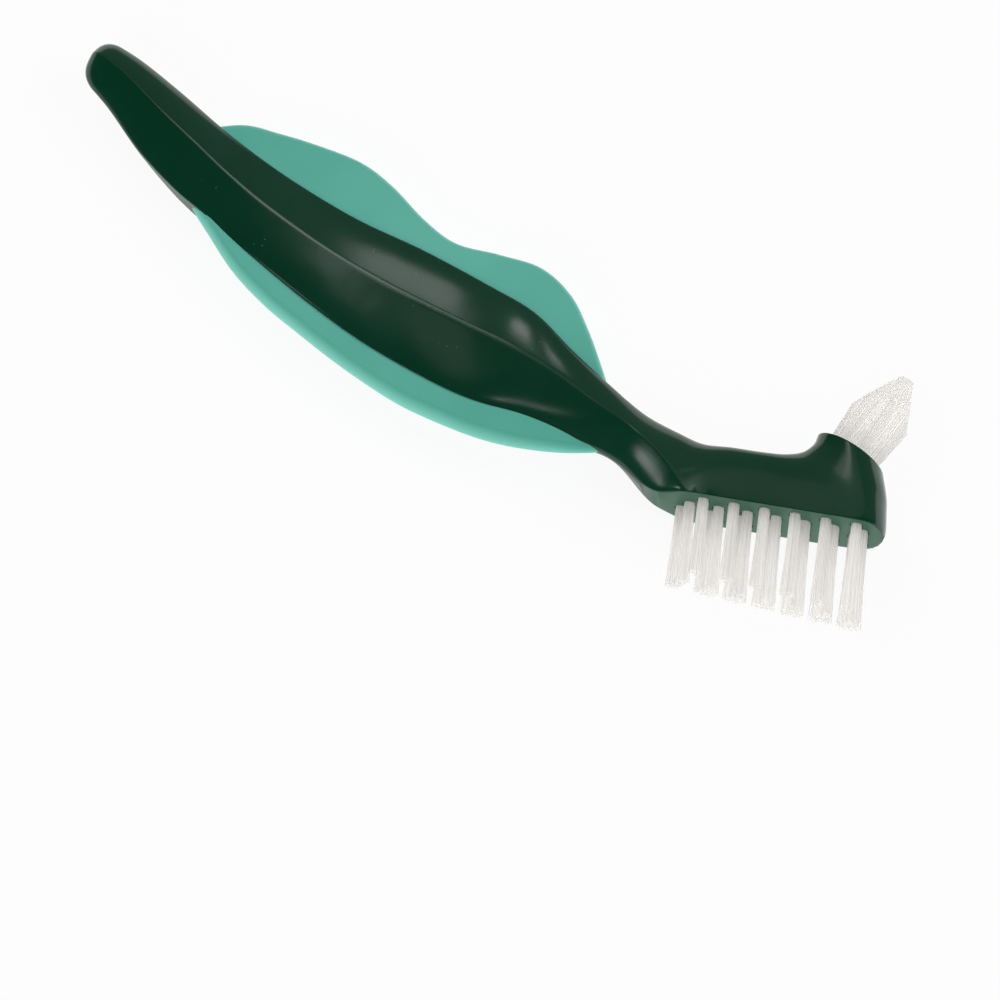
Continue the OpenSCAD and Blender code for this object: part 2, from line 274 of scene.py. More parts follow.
# %% Stations of the head
# The sections reach this far below the flat face, which then takes them off
FACE_SPARE = 1.1
SOLE_FLAT = FACE_WIDTH * 0.47
HALF_BOSS = np.array([BOSS_LENGTH / 2, 0])
HEAD_STATIONS = [
    station(head_point(-3.9, HEAD_DEPTH + 1.9), head_point(-6.4, -0.2),
            0.58, FACE_WIDTH * 0.87, (0.3, 3.3), (1.8, 1.1), 1),
    station(head_point(0.7, HEAD_DEPTH + 0.2), head_point(0.2, -FACE_SPARE),
            0.93, FACE_WIDTH, (0.4, SOLE_FLAT), (2.6, 1.5)),
    station(head_point(6, HEAD_DEPTH), head_point(7, -FACE_SPARE),
            0.94, FACE_WIDTH, (0.4, SOLE_FLAT), (3.6, 2)),
    station(head_point(11.4, HEAD_DEPTH), head_point(17, -FACE_SPARE),
            0.94, FACE_WIDTH, (0.4, SOLE_FLAT), (3.8, 2)),
    station(head_point(15.4, HEAD_DEPTH + 0.5), head_point(FACE_END - 9, -FACE_SPARE),
            0.94, FACE_WIDTH, (0.3, SOLE_FLAT), (3.4, 2)),
    station(head_point(18.5, HEAD_DEPTH + 1.8), head_point(FACE_END, -FACE_SPARE),
            0.8, FACE_WIDTH, (0.2, 0.2), (2.8, 2)),
    station(head_point(20.4, HEAD_DEPTH + 3.9), head_point(FACE_END + 0.3, HEAD_DEPTH / 2),
            0.6, FACE_WIDTH, (0.1, 0.1), (2.3, 2.1)),
    station(MOUTH - HALF_BOSS, MOUTH + HALF_BOSS, 0.5, FACE_WIDTH, (0.1, 0.1), (2, 2)),
]
STATIONS = np.array([spine_station(*row) for row in SPINE_ROWS] + HEAD_STATIONS, float)
print("stations:", len(STATIONS))

# %% [markdown]
# ## From stations to a skin
#
# Each section is built from four quarters. The power in a quarter decides its look: 2 is
# an ellipse, more is boxy, and near 1 the sides run straight into a sharp ridge. A crisp
# station lets its sides run straight at the ridge only, and keeps its rounded edge. Points
# that would fall below the flat face are lifted until they nearly lie in it, which gives
# the sole its edge.

# %% Section helpers
LOFT_STEPS = 10
QUARTER_STEPS = 18
TIP_STEPS = 12
# The rounded tip and the loft behind it are kept this far apart
TIP_GAP = 0.3
# A crisp section is made this much rounder at its edge, to stay as thick as before
CRISP_SWELL = 0.3
# A crisp ridge would stand this much further out if its top were not taken off flat
RIDGE_LAND = 0.08
# Radii with which the sole turns into the sides, and into the neck
SOLE_EDGE_R = 0.15
NECK_BLEND_R = 0.8
# Points closer than this are one point, in metres
WELD = 1e-6
HANDLE_SHARP = math.radians(28)


def row_at(rows, t):
    """Smooth curve through the rows of a table, with t counting rows from 0."""
    last = len(rows) - 1
    i = min(int(t), last - 1)
    f = t - i
    a, b, c, d = rows[max(i - 1, 0)], rows[i], rows[i + 1], rows[min(i + 2, last)]
    return (2 * b + (c - a) * f + (2 * a - 5 * b + 4 * c - d) * f ** 2
            + (3 * b - a - 3 * c + d) * f ** 3) / 2


def quarter_side(ridge, edge, flat, half, roundness, crisp):
    """Points from the edge of a section, in its middle plane, round to its ridge."""
    angles = np.radians(np.linspace(0, 90, QUARTER_STEPS + 1))
    at_ridge = crisp + (1 - crisp) * roundness
    at_edge = roundness ** (1 + CRISP_SWELL * crisp)
    reach = np.cos(angles).clip(0) ** (2 / at_ridge)
    peak = half + RIDGE_LAND * crisp
    width = flat + (peak - flat) * np.sin(angles).clip(0) ** (2 / at_edge)
    places = ridge + reach[:, None] * (edge - ridge)
    return np.column_stack([places, width.clip(max=half)])


def above_face(points):
    """Points below the flat face, lifted square to the face until they nearly lie in it.

    The lift sets in gently, over a radius that is large where the neck runs into the sole.
    """
    places = points[:, :2] - FACE_ORIGIN
    depth = -places @ FACE_UP
    into_neck = (-(places @ FACE_RUN) / FACE_LEAD).clip(0, 1)
    soft = SOLE_EDGE_R + into_neck * (NECK_BLEND_R - SOLE_EDGE_R)
    lift = np.where(points[:, 0] > NECK_START, (depth + np.hypot(depth, 2 * soft)) / 2, 0)
    points[:, :2] += lift[:, None] * FACE_UP
    return points


def ring(s, size=1):
    """Closed ring of points for one station, shrunk about its middle by the size."""
    back, front = s[0:2], s[2:4]
    ridge = back + s[4] * (front - back)
    upper = quarter_side(ridge, back, s[6], s[5], s[8], s[10])
    lower = quarter_side(ridge, front, s[7], s[5], s[9], s[10])[:-1][::-1]
    near = np.vstack([upper, lower])
    middle = np.append((back + front) / 2, 0)
    near = above_face(middle + size * (near - middle))
    far = near[::-1] * [1, 1, -1]
    return np.vstack([near, far])


def handle_rings():
    """Rings of the whole handle: the rounded tip of the tail, then the loft."""
    first_x = zone_x(SPINE_ROWS[1][0])
    rings = []
    for i in range(1, TIP_STEPS + 1):
        angle = math.radians(90 * i / TIP_STEPS)
        x = TAIL_ROUND * (1 - math.cos(angle))
        rings.append(ring(row_at(STATIONS, x / first_x), math.sin(angle)))
    for i in range((len(STATIONS) - 1) * LOFT_STEPS + 1):
        t = i / LOFT_STEPS
        if t * first_x > TAIL_ROUND + TIP_GAP:
            rings.append(ring(row_at(STATIONS, t)))
    return rings


def add_mesh(name, points, faces):
    """Object in the scene with a mesh of the given points, which are in metres."""
    mesh = bpy.data.meshes.new(name)
    mesh.from_pydata(points, [], faces)
    piece = bpy.data.objects.new(name, mesh)
    bpy.context.scene.collection.objects.link(piece)
    return piece


def laid(points):
    """Points of the design, in millimetres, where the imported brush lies, in metres."""
    return ((points + LYING) * MM).tolist()


def skin(name, rings):
    """Closed mesh over a list of rings."""
    n, count = len(rings[0]), len(rings)
    faces = []
    for i in range(count - 1):
        for j in range(n):
            a, b = i * n + j, i * n + (j + 1) % n
            faces.append((a, b, b + n, a + n))
    faces.append(tuple(range(n))[::-1])
    faces.append(tuple((count - 1) * n + j for j in range(n)))
    return add_mesh(name, laid(np.vstack(rings)), faces)


def tidy_mesh(piece, sharp_angle):
    """Welds doubled points, turns the faces outwards and smooths below the sharp angle."""
    work = bmesh.new()
    work.from_mesh(piece.data)
    bmesh.ops.remove_doubles(work, verts=work.verts, dist=WELD)
    bmesh.ops.recalc_face_normals(work, faces=work.faces)
    work.to_mesh(piece.data)
    work.free()
    piece.data.shade_smooth()
    piece.data.set_sharp_from_angle(angle=sharp_angle)


# %% Build the handle
handle = skin("handle_skin", handle_rings())
tidy_mesh(handle, HANDLE_SHARP)
low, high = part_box("handle")
ours = np.array([v.co for v in handle.data.vertices])
print("handle faces:", len(handle.data.polygons), "largest difference from the solid in mm:",
      round(1000 * max(abs(ours.min(0) - np.array(low)).max(),
                       abs(ours.max(0) - np.array(high)).max()), 3))

# %% [markdown]
# ## Holes for the tufts
#
# Round dark rims show wherever a tuft leaves the plastic, so the holes are real ones, cut
# with a Boolean modifier. All cutters are joined into one object, because one cut is
# quicker than one for each hole. The manifold solver copes with the many thin faces of the
# flat sole, where the exact solver adds the cutters to the handle instead of taking them
# away.

# %% Cut the holes
HOLE_SIDES = 32
# How far a cutter stands out of its hole
CUTTER_RISE = 2
CUTTER_SHARP = math.radians(30)


def cylinder_points(root, out, along, radius, depth):
    """Vertices of a cutter: a ring at each end."""
    turn = np.linspace(0, 2 * math.pi, HOLE_SIDES, endpoint=False)
    circle = radius * (np.cos(turn)[:, None] * along + np.sin(turn)[:, None] * ACROSS)
    return np.vstack([root - depth * out + circle, root + CUTTER_RISE * out + circle])


def hole_cutter():
    """One object with a cylinder in every hole."""
    points, faces = [], []
    holes = [(root, FACE_OUT, FACE_ALONG, HOLE_D / 2, HOLE_DEPTH) for _, root, _ in FACE_TUFTS]
    holes += [(root, POINT_OUT, POINT_ALONG, POINT_HOLE_D / 2, POINT_HOLE_DEPTH)
              for _, root in POINT_TUFTS]
    for hole in holes:
        base = len(points) * 2 * HOLE_SIDES
        points.append(cylinder_points(*hole))
        for j in range(HOLE_SIDES):
            k = (j + 1) % HOLE_SIDES
            faces.append((base + j, base + k, base + HOLE_SIDES + k, base + HOLE_SIDES + j))
        faces.append([base + j for j in range(HOLE_SIDES)][::-1])
        faces.append([base + HOLE_SIDES + j for j in range(HOLE_SIDES)])
    cutter = add_mesh("hole_cutter", laid(np.vstack(points)), faces)
    tidy_mesh(cutter, CUTTER_SHARP)
    return cutter


def apply_modifiers(piece):
    """Puts the finished mesh in the place of the plain one."""
    graph = bpy.context.evaluated_depsgraph_get()
    finished = bpy.data.meshes.new_from_object(piece.evaluated_get(graph))
    piece.modifiers.clear()
    piece.data = finished


cutter = hole_cutter()
cut = handle.modifiers.new("holes", "BOOLEAN")
cut.object = cutter
cut.operation = "DIFFERENCE"
cut.solver = "MANIFOLD"
apply_modifiers(handle)
bpy.data.objects.remove(cutter)
tidy_mesh(handle, HANDLE_SHARP)
print("handle faces with its holes:", len(handle.data.polygons))

# %% Mark the sole
# The mould leaves the sole duller than the rest, and its colour is painted a lighter green,
# as painted light from below, so its material needs to know it. The mark grows as a face
# turns towards the tips of the tufts.
SOLE_NEAR = 1.2
SOLE_TURN = (0.75, 0.98)


def mark_sole(piece):
    """Stores on each face how much of the sole's duller finish and painted light it has, and
    counts such faces.
    """
    centres = np.array([face.center for face in piece.data.polygons]) / MM - LYING
    turned = np.array([face.normal for face in piece.data.polygons])[:, :2]
    depth = abs((centres[:, :2] - FACE_ORIGIN) @ FACE_UP)
    near = (depth < SOLE_NEAR) & (centres[:, 0] > NECK_START)
    share = (-turned @ FACE_UP - SOLE_TURN[0]) / (SOLE_TURN[1] - SOLE_TURN[0])
    values = np.where(near, share.clip(0, 1), 0)
    mark = piece.data.attributes.new("sole", "FLOAT", "FACE")
    mark.data.foreach_set("value", values.astype(np.float32))
    return int((values > 0).sum())


print("faces of the sole:", mark_sole(handle))

# %% [markdown]
# ## The rubber grip
#
# The rubber is one blade that passes through the spine. Its outline swells in two humps
# with a dip for the thumb between them. It is lofted like the handle, with a rounded edge
# all round, and the spine simply stands through it.

# %% Build the grip
EDGE_STEPS = 10
# Share of a step by which the edge starts beside the middle plane, so that it has a width
EDGE_LEAD = 0.2
GRIP_SHARP = math.radians(50)


def blade_ring(r):
    """Closed ring of the blade at one row of its table."""
    x = GRIP_START + r[0] * GRIP_LENGTH
    top = -SPINE_SAG + r[1] * HUMP_REACH
    bottom = -SPINE_SAG - r[2] * BELLY_REACH
    half = r[3] * BLADE_THICKNESS / 2
    edge = min(BLADE_EDGE_R, (top - bottom) / 3)
    angles = np.radians(90 * (np.arange(EDGE_STEPS + 1) + EDGE_LEAD) / (EDGE_STEPS + EDGE_LEAD))
    drop = edge * (1 - np.cos(angles))
    width = half * np.sin(angles)
    flat = np.full(EDGE_STEPS + 1, x)
    upper = np.column_stack([flat, top - drop, width])
    lower = np.column_stack([flat, bottom + drop, width])[::-1]
    near = np.vstack([upper, lower])
    return np.vstack([near, near[::-1] * [1, 1, -1]])


blade_table = np.array(BLADE_ROWS, float)
blade_count = (len(blade_table) - 1) * LOFT_STEPS
grip = skin("grip_skin", [blade_ring(row_at(blade_table, i / LOFT_STEPS))
                          for i in range(blade_count + 1)])
tidy_mesh(grip, GRIP_SHARP)
print("grip faces:", len(grip.data.polygons))

# %% [markdown]
# ## Nylon filaments
#
# A tuft is a bundle of nearly straight filaments, each about a quarter of a millimetre
# thick. They leave the hole packed tight, open a little towards the tip, and end where the
# trimming knife passed, never quite level. Hair particles would look right but leave the
# exported model bald, so each filament is a real tube of five sides. A random number is
# stored on every filament for its material.

# %% Filament helpers
FILAMENT_SIDES = 5
FILAMENT_D = 0.24
FILAMENTS_PER_TUFT = 60
FILAMENTS_PER_POINT_TUFT = 130
LINE_STEPS = 4
# How far the filaments stop above the floor of their hole
ROOT_GAP = 0.3
# How far a filament strays from its even place in the disc
PACKING_NOISE = 0.03
TRIM_NOISE = 0.16
FILAMENT_SHARP = math.radians(80)
SEED = 7


def sunflower(count, radius, rng):
    """Evenly packed places in a disc, a little disturbed."""
    k = np.arange(count) + 0.5
    r = radius * np.sqrt(k / count)
    turn = k * math.pi * (3 - math.sqrt(5))
    places = np.column_stack([r * np.cos(turn), r * np.sin(turn)])
    return places + rng.normal(0, PACKING_NOISE, places.shape)


def tube_pattern(steps):
    """Faces of one tube, without a cap at its root."""
    pattern = []
    for i in range(steps - 1):
        for j in range(FILAMENT_SIDES):
            a, b = i * FILAMENT_SIDES + j, i * FILAMENT_SIDES + (j + 1) % FILAMENT_SIDES
            pattern.append((a, b, b + FILAMENT_SIDES, a + FILAMENT_SIDES))
    pattern.append(list(range((steps - 1) * FILAMENT_SIDES, steps * FILAMENT_SIDES)))
    return pattern


def filament_mesh(name, lines, tones):
    """One mesh of tubes along the given lines, each of the same number of points."""
    lines = np.asarray(lines)
    count, steps, _ = lines.shape
    way = lines[:, -1] - lines[:, 0]
    way /= np.linalg.norm(way, axis=1)[:, None]
    side = np.cross(way, ACROSS)
    side /= np.linalg.norm(side, axis=1)[:, None]
    other = np.cross(way, side)
    turn = np.linspace(0, 2 * math.pi, FILAMENT_SIDES, endpoint=False)
    rim = FILAMENT_D / 2 * (np.cos(turn)[None, :, None] * side[:, None]
                            + np.sin(turn)[None, :, None] * other[:, None])
    points = (lines[:, :, None, :] + rim[:, None, :, :]).reshape(-1, 3)
    per = steps * FILAMENT_SIDES
    pattern = tube_pattern(steps)
    faces = [[base + k for k in face] for base in range(0, count * per, per) for face in pattern]
    piece = add_mesh(name, laid(points), faces)
    tone = piece.data.attributes.new("strand", "FLOAT", "POINT")
    tone.data.foreach_set("value", np.repeat(tones, per).astype(np.float32))
    piece.data.shade_smooth()
    piece.data.set_sharp_from_angle(angle=FILAMENT_SHARP)
    return piece


def bent_line(root, out, length, depth, spread, bend):
    """A filament from near the floor of its hole, whose free length opens by the spread."""
    t = np.linspace(0, 1, LINE_STEPS)
    free = root + t[:, None] * length * out + (t ** bend)[:, None] * spread
    return np.vstack([root - (depth - ROOT_GAP) * out, free])


# %% Build the tufts of the face
FACE_FLARE = 0.48
FACE_WANDER = 0.10
# A power above 1 opens a filament towards its tip, one below 1 already at its root
FACE_BEND = 1.6


def face_filaments(index, name, root, length):
    """Mesh of the filaments of one tuft of the face."""
    rng = np.random.default_rng(SEED + index)
    places = sunflower(FILAMENTS_PER_TUFT, HOLE_D / 2 - TUFT_CLEARANCE, rng)
    lines = []
    for x, z in places:
        offset = x * FACE_ALONG + z * ACROSS
        reach = length + TRIM_RISE * x - abs(rng.normal(0, TRIM_NOISE))
        wander = FACE_WANDER * (rng.normal() * FACE_ALONG + rng.normal() * ACROSS)
        lines.append(bent_line(root + offset, FACE_OUT, reach, HOLE_DEPTH,
                               FACE_FLARE * offset + wander, FACE_BEND))
    return filament_mesh(name + "_filaments", lines, rng.random(len(lines)))


tuft_pieces = {name: face_filaments(i, name, root, length)
               for i, (name, root, length) in enumerate(FACE_TUFTS)}
print("face tufts:", len(tuft_pieces), "filaments each:", FILAMENTS_PER_TUFT)

# %% [markdown]
# ## The pointed cluster
#
# The seven tufts of the boss stand so close that they read as one brush. Their filaments
# end on a blunt cone: straight up to a shoulder, then sloping to the tip.

# %% Build the tufts of the boss
POINT_FLARE = 0.6
POINT_LEAN = 0.4
POINT_WANDER = 0.05
POINT_BEND = 0.8
# The cluster is of the lighter filaments only
POINT_TONE = 0.6
POINT_SEED = SEED + 100
SHOULDER_R = POINT_RING_R + (1 + POINT_FLARE) * (POINT_HOLE_D / 2 - TUFT_CLEARANCE)


def cone_height(r):
    """How far a filament stands out at that distance from the middle of the cluster."""
    tip_r = POINT_TIP_D / 2
    share = min(max((r - tip_r) / (SHOULDER_R - tip_r), 0), 1)
    return POINT_LENGTH - share * (POINT_LENGTH - POINT_SHOULDER)


def point_filaments(index, name, root):
    """Mesh of the filaments of one tuft of the boss."""
    rng = np.random.default_rng(POINT_SEED + index)
    centre = np.array([MOUTH[0], MOUTH[1], 0])
    places = sunflower(FILAMENTS_PER_POINT_TUFT, POINT_HOLE_D / 2 - TUFT_CLEARANCE, rng)
    lines = []
    for x, z in places:
        offset = x * POINT_ALONG + z * ACROSS
        r = np.linalg.norm(root + (1 + POINT_FLARE) * offset - centre)
        reach = cone_height(r) - abs(rng.normal(0, TRIM_NOISE))
        wander = POINT_WANDER * (rng.normal() * POINT_ALONG + rng.normal() * ACROSS)
        spread = POINT_FLARE * offset + POINT_LEAN * POINT_ALONG + wander
        lines.append(bent_line(root + offset, POINT_OUT, reach, POINT_HOLE_DEPTH,
                               spread, POINT_BEND))
    return filament_mesh(name + "_filaments", lines, rng.uniform(POINT_TONE, 1, len(lines)))


for i, (name, root) in enumerate(POINT_TUFTS):
    tuft_pieces[name] = point_filaments(i, name, root)
print("all tufts:", len(tuft_pieces))

# %% [markdown]
# ## Shared effects
#
# Moulded parts that have been packed and handled carry the same traces: a soft unevenness
# of the surface, and fine specks and short scratches. Both are node groups, built once and
# placed in each material with its own values. They put out masks and a height only.

# %% Node group helpers
def new_group(name, inputs, outputs):
    """Empty shader group with float sockets. Inputs are (name, default) pairs."""
    group = bpy.data.node_groups.new(name, "ShaderNodeTree")
    for label, default in inputs:
        socket = group.interface.new_socket(label, in_out="INPUT", socket_type="NodeSocketFloat")
        socket.default_value = default
    for label in outputs:
        group.interface.new_socket(label, in_out="OUTPUT", socket_type="NodeSocketFloat")
    return group, group.nodes.new("NodeGroupInput"), group.nodes.new("NodeGroupOutput")


def feed(tree, socket, value):
    """Gives a socket a fixed number or colour, or links it to the output of a node."""
    if hasattr(value, "is_output"):
        tree.links.new(value, socket)
    elif isinstance(value, tuple):
        socket.default_value = (*value, 1)
    else:
        socket.default_value = value


def noise(tree, vector, scale, detail):
    """Value of a noise texture."""
    node = tree.nodes.new("ShaderNodeTexNoise")
    for label, value in (("Vector", vector), ("Scale", scale), ("Detail", detail)):
        feed(tree, node.inputs[label], value)
    return node.outputs["Fac"]


def remap(tree, value, low, high, new_low=0, new_high=1):
    """Clamped change of range of a value."""
    node = tree.nodes.new("ShaderNodeMapRange")
    for socket, number in zip(node.inputs, (value, low, high, new_low, new_high)):
        feed(tree, socket, number)
    return node.outputs["Result"]


def math_node(tree, operation, a, b):
    """Result of an operation on two values, each a number or an output."""
    node = tree.nodes.new("ShaderNodeMath")
    node.operation = operation
    for socket, value in zip(node.inputs, (a, b)):
        feed(tree, socket, value)
    return node.outputs["Value"]


# %% Group: soft unevenness of a moulding
# Height of the broad waves, and of the fine grain on them
BROAD_HEIGHT = 0.8
FINE_HEIGHT = 0.03


def make_unevenness():
    """Group that puts out a broad mask and a height."""
    group, inputs, outputs = new_group(
        "Moulded unevenness", [("Scale", 90), ("Fine scale", 2500)], ["Broad", "Height"])
    place = group.nodes.new("ShaderNodeTexCoord").outputs["Object"]
    broad = noise(group, place, inputs.outputs["Scale"], 2)
    fine = noise(group, place, inputs.outputs["Fine scale"], 4)
    height = math_node(group, "ADD", math_node(group, "MULTIPLY", broad, BROAD_HEIGHT),
                       math_node(group, "MULTIPLY", fine, FINE_HEIGHT))
    group.links.new(broad, outputs.inputs["Broad"])
    group.links.new(height, outputs.inputs["Height"])
    return group


UNEVENNESS = make_unevenness()

# %% Group: specks and short scratches
# Where the edge of a mark lies in the range of its texture, as (from, to)
SPECK_EDGE = (0.02, 0.10)
SPECK_AREA = (0.62, 0.68)
SCRATCH_EDGE = (0.0, 0.006)
SCRATCH_AREA = (0.56, 0.66)
SPECK_AREA_SCALE = 300
SCRATCH_AREA_SCALE = 60
SCRATCH_STRETCH = (0.12, 1.6, 1)
SCRATCH_TURN = math.radians(24)


def make_handling_marks():
    """Group that puts out a mask of rare specks and one of patches of fine scratches."""
    group, inputs, outputs = new_group(
        "Handling marks", [("Speck scale", 900), ("Scratch scale", 260)], ["Specks", "Scratches"])
    place = group.nodes.new("ShaderNodeTexCoord").outputs["Object"]
    cells = group.nodes.new("ShaderNodeTexVoronoi")
    group.links.new(place, cells.inputs["Vector"])
    group.links.new(inputs.outputs["Speck scale"], cells.inputs["Scale"])
    dots = remap(group, cells.outputs["Distance"], *SPECK_EDGE, 1, 0)
    rare = remap(group, noise(group, place, SPECK_AREA_SCALE, 1), *SPECK_AREA)
    group.links.new(math_node(group, "MULTIPLY", dots, rare), outputs.inputs["Specks"])
    stretched = group.nodes.new("ShaderNodeMapping")
    stretched.inputs["Scale"].default_value = SCRATCH_STRETCH
    stretched.inputs["Rotation"].default_value = (0, 0, SCRATCH_TURN)
    group.links.new(place, stretched.inputs["Vector"])
    lines = noise(group, stretched.outputs["Vector"], inputs.outputs["Scratch scale"], 6)
    off_middle = math_node(group, "ABSOLUTE", math_node(group, "SUBTRACT", lines, 0.5), 0)
    thin = remap(group, off_middle, *SCRATCH_EDGE, 1, 0)
    patch = remap(group, noise(group, place, SCRATCH_AREA_SCALE, 2), *SCRATCH_AREA)
    group.links.new(math_node(group, "MULTIPLY", thin, patch), outputs.inputs["Scratches"])
    return group


MARKS = make_handling_marks()

# %% [markdown]
# ## Finishes
#
# The handle is hard glossy plastic: nearly black green in its own colour, and lighter where
# it mirrors a lamp and on the sole, whose lighter green is painted light from below. The grip
# is a satin rubber that scatters light softly. The nylon is clear, so a bundle of it looks
# pale grey, with light and dark streaks.

# %% Material helpers
# Range of the broad noise over which a finish changes
BROAD_RANGE = (0.3, 0.7)
BEVEL_SAMPLES = 8


def new_material(name):
    """Material with its tree and its main shader."""
    material = bpy.data.materials.new(name)
    material.use_nodes = True
    tree = material.node_tree
    return material, tree, tree.nodes["Principled BSDF"]


def place_group(tree, group, **values):
    """Node of a shared group, with its inputs set by name."""
    node = tree.nodes.new("ShaderNodeGroup")
    node.node_tree = group
    for label, value in values.items():
        node.inputs[label.replace("_", " ")].default_value = value
    return node


def colour_mix(tree, amount, first, second):
    """Colour between two colours, each fixed or the output of a node, chosen by a mask."""
    node = tree.nodes.new("ShaderNodeMix")
    node.data_type = "RGBA"
    tree.links.new(amount, node.inputs["Factor"])
    for label, colour in (("A", first), ("B", second)):
        socket = [s for s in node.inputs if s.name == label and s.type == "RGBA"][0]
        feed(tree, socket, colour)
    return [s for s in node.outputs if s.type == "RGBA"][0]


def add_bump(tree, shader, height, strength, distance, edge_radius=0):
    """Bump on the normal, and a soft look for the sharp edges if a radius is given."""
    bump = tree.nodes.new("ShaderNodeBump")
    if edge_radius:
        soft = tree.nodes.new("ShaderNodeBevel")
        soft.samples = BEVEL_SAMPLES
        soft.inputs["Radius"].default_value = edge_radius
        tree.links.new(soft.outputs["Normal"], bump.inputs["Normal"])
    bump.inputs["Strength"].default_value = strength
    bump.inputs["Distance"].default_value = distance
    tree.links.new(height, bump.inputs["Height"])
    tree.links.new(bump.outputs["Normal"], shader.inputs["Normal"])


def mix_shaders(tree, amount, first, second):
    """Shader between two shaders, by a fixed amount of the second."""
    mix = tree.nodes.new("ShaderNodeMixShader")
    mix.inputs["Fac"].default_value = amount
    tree.links.new(first, mix.inputs[1])
    tree.links.new(second, mix.inputs[2])
    return mix.outputs["Shader"]


# %% Green plastic
GREEN = (0.0016, 0.0325, 0.0155)
GREEN_WORN = (0.0026, 0.0375, 0.0190)
# Lighter green of the sole: painted light, standing in for light from below
SOLE_PAINTED_LIGHT = (0.0040, 0.0720, 0.0340)
DUST = (0.25, 0.32, 0.28)
DUST_SHARE = 0.5
GREEN_ROUGHNESS = (0.12, 0.18)
# What a scratch and the sole add to the roughness
SCRATCH_ROUGHNESS = 0.08
SOLE_ROUGHNESS = 0.25
GREEN_IOR = 1.49
# Strength and height of the bump, and the radius of the softened edges, in metres
GREEN_BUMP = (0.6, 0.0003)
GREEN_EDGE = 0.00035


def make_green_plastic():
    """Hard glossy plastic with faint dust and scratches, and a duller sole painted a lighter green
    as painted light from below.
    """
    material, tree, shader = new_material("green_plastic")
    uneven = place_group(tree, UNEVENNESS, Scale=60, Fine_scale=1800)
    marks = place_group(tree, MARKS, Speck_scale=700, Scratch_scale=240)
    base = colour_mix(tree, remap(tree, uneven.outputs["Broad"], *BROAD_RANGE), GREEN, GREEN_WORN)
    dusty = colour_mix(tree, remap(tree, marks.outputs["Specks"], 0, 1, 0, DUST_SHARE), base, DUST)
    sole = tree.nodes.new("ShaderNodeAttribute")
    sole.attribute_name = "sole"
    # The sole takes the lighter green: painted light from below
    whole = colour_mix(tree, sole.outputs["Fac"], dusty, SOLE_PAINTED_LIGHT)
    tree.links.new(whole, shader.inputs["Base Color"])
    rough = remap(tree, uneven.outputs["Broad"], *BROAD_RANGE, *GREEN_ROUGHNESS)
    for mask, share in ((marks.outputs["Scratches"], SCRATCH_ROUGHNESS),
                        (sole.outputs["Fac"], SOLE_ROUGHNESS)):
        rough = math_node(tree, "ADD", rough, math_node(tree, "MULTIPLY", mask, share))
    tree.links.new(rough, shader.inputs["Roughness"])
    shader.inputs["IOR"].default_value = GREEN_IOR
    add_bump(tree, shader, uneven.outputs["Height"], *GREEN_BUMP, GREEN_EDGE)
    return material


# %% Blue-green rubber
TEAL = (0.102, 0.430, 0.345)
TEAL_DEEP = (0.088, 0.400, 0.315)
SMUDGE = (0.030, 0.190, 0.140)
SMUDGE_SHARE = 0.6
TEAL_ROUGHNESS = (0.46, 0.56)
TEAL_IOR = 1.45
TEAL_BUMP = (0.35, 0.0002)


def make_teal_rubber():
    """Satin rubber with small dark smudges."""
    material, tree, shader = new_material("teal_rubber")
    uneven = place_group(tree, UNEVENNESS, Scale=45, Fine_scale=3200)
    marks = place_group(tree, MARKS, Speck_scale=500, Scratch_scale=160)
    base = colour_mix(tree, remap(tree, uneven.outputs["Broad"], *BROAD_RANGE), TEAL, TEAL_DEEP)
    smudged = colour_mix(tree, remap(tree, marks.outputs["Specks"], 0, 1, 0, SMUDGE_SHARE),
                         base, SMUDGE)
    tree.links.new(smudged, shader.inputs["Base Color"])
    tree.links.new(remap(tree, uneven.outputs["Broad"], *BROAD_RANGE, *TEAL_ROUGHNESS),
                   shader.inputs["Roughness"])
    shader.inputs["IOR"].default_value = TEAL_IOR
    add_bump(tree, shader, uneven.outputs["Height"], *TEAL_BUMP)
    return material


# %% Clear nylon
NYLON_LIGHT = (0.84, 0.825, 0.805)
NYLON_DARK = (0.50, 0.487, 0.475)
# Share of the light that a filament stops; the rest passes straight through
NYLON_BODY = 0.36
# The same for the cluster, whose filaments stand too close to see through
POINT_BODY = 0.85
# Share of the stopped light that comes out on the far side of the filament
NYLON_GLOW = 0.5
NYLON_ROUGHNESS = 0.3
NYLON_IOR = 1.53


def make_nylon(name, share):
    """Nylon that stops the given share of the light, with a tone of its own per filament."""
    material, tree, shader = new_material(name)
    glow = tree.nodes.new("ShaderNodeBsdfTranslucent")
    glow.inputs["Color"].default_value = (*NYLON_LIGHT, 1)
    clear = tree.nodes.new("ShaderNodeBsdfTransparent")
    body = mix_shaders(tree, NYLON_GLOW, shader.outputs["BSDF"], glow.outputs["BSDF"])
    whole = mix_shaders(tree, share, clear.outputs["BSDF"], body)
    tree.links.new(whole, tree.nodes["Material Output"].inputs["Surface"])
    strand = tree.nodes.new("ShaderNodeAttribute")
    strand.attribute_name = "strand"
    tone = colour_mix(tree, strand.outputs["Fac"], NYLON_DARK, NYLON_LIGHT)
    tree.links.new(tone, shader.inputs["Base Color"])
    shader.inputs["Roughness"].default_value = NYLON_ROUGHNESS
    shader.inputs["IOR"].default_value = NYLON_IOR
    return material


# %% Brass staples
BRASS = (0.62, 0.46, 0.20)
BRASS_DARK = (0.50, 0.36, 0.16)
BRASS_ROUGHNESS = (0.25, 0.4)


def make_brass():
    """Plain drawn wire."""
    material, tree, shader = new_material("staple_brass")
    uneven = place_group(tree, UNEVENNESS, Scale=400, Fine_scale=6000)
    tone = colour_mix(tree, uneven.outputs["Broad"], BRASS, BRASS_DARK)
    tree.links.new(tone, shader.inputs["Base Color"])
    shader.inputs["Metallic"].default_value = 1
    tree.links.new(remap(tree, uneven.outputs["Broad"], *BROAD_RANGE, *BRASS_ROUGHNESS),
                   shader.inputs["Roughness"])
    return material


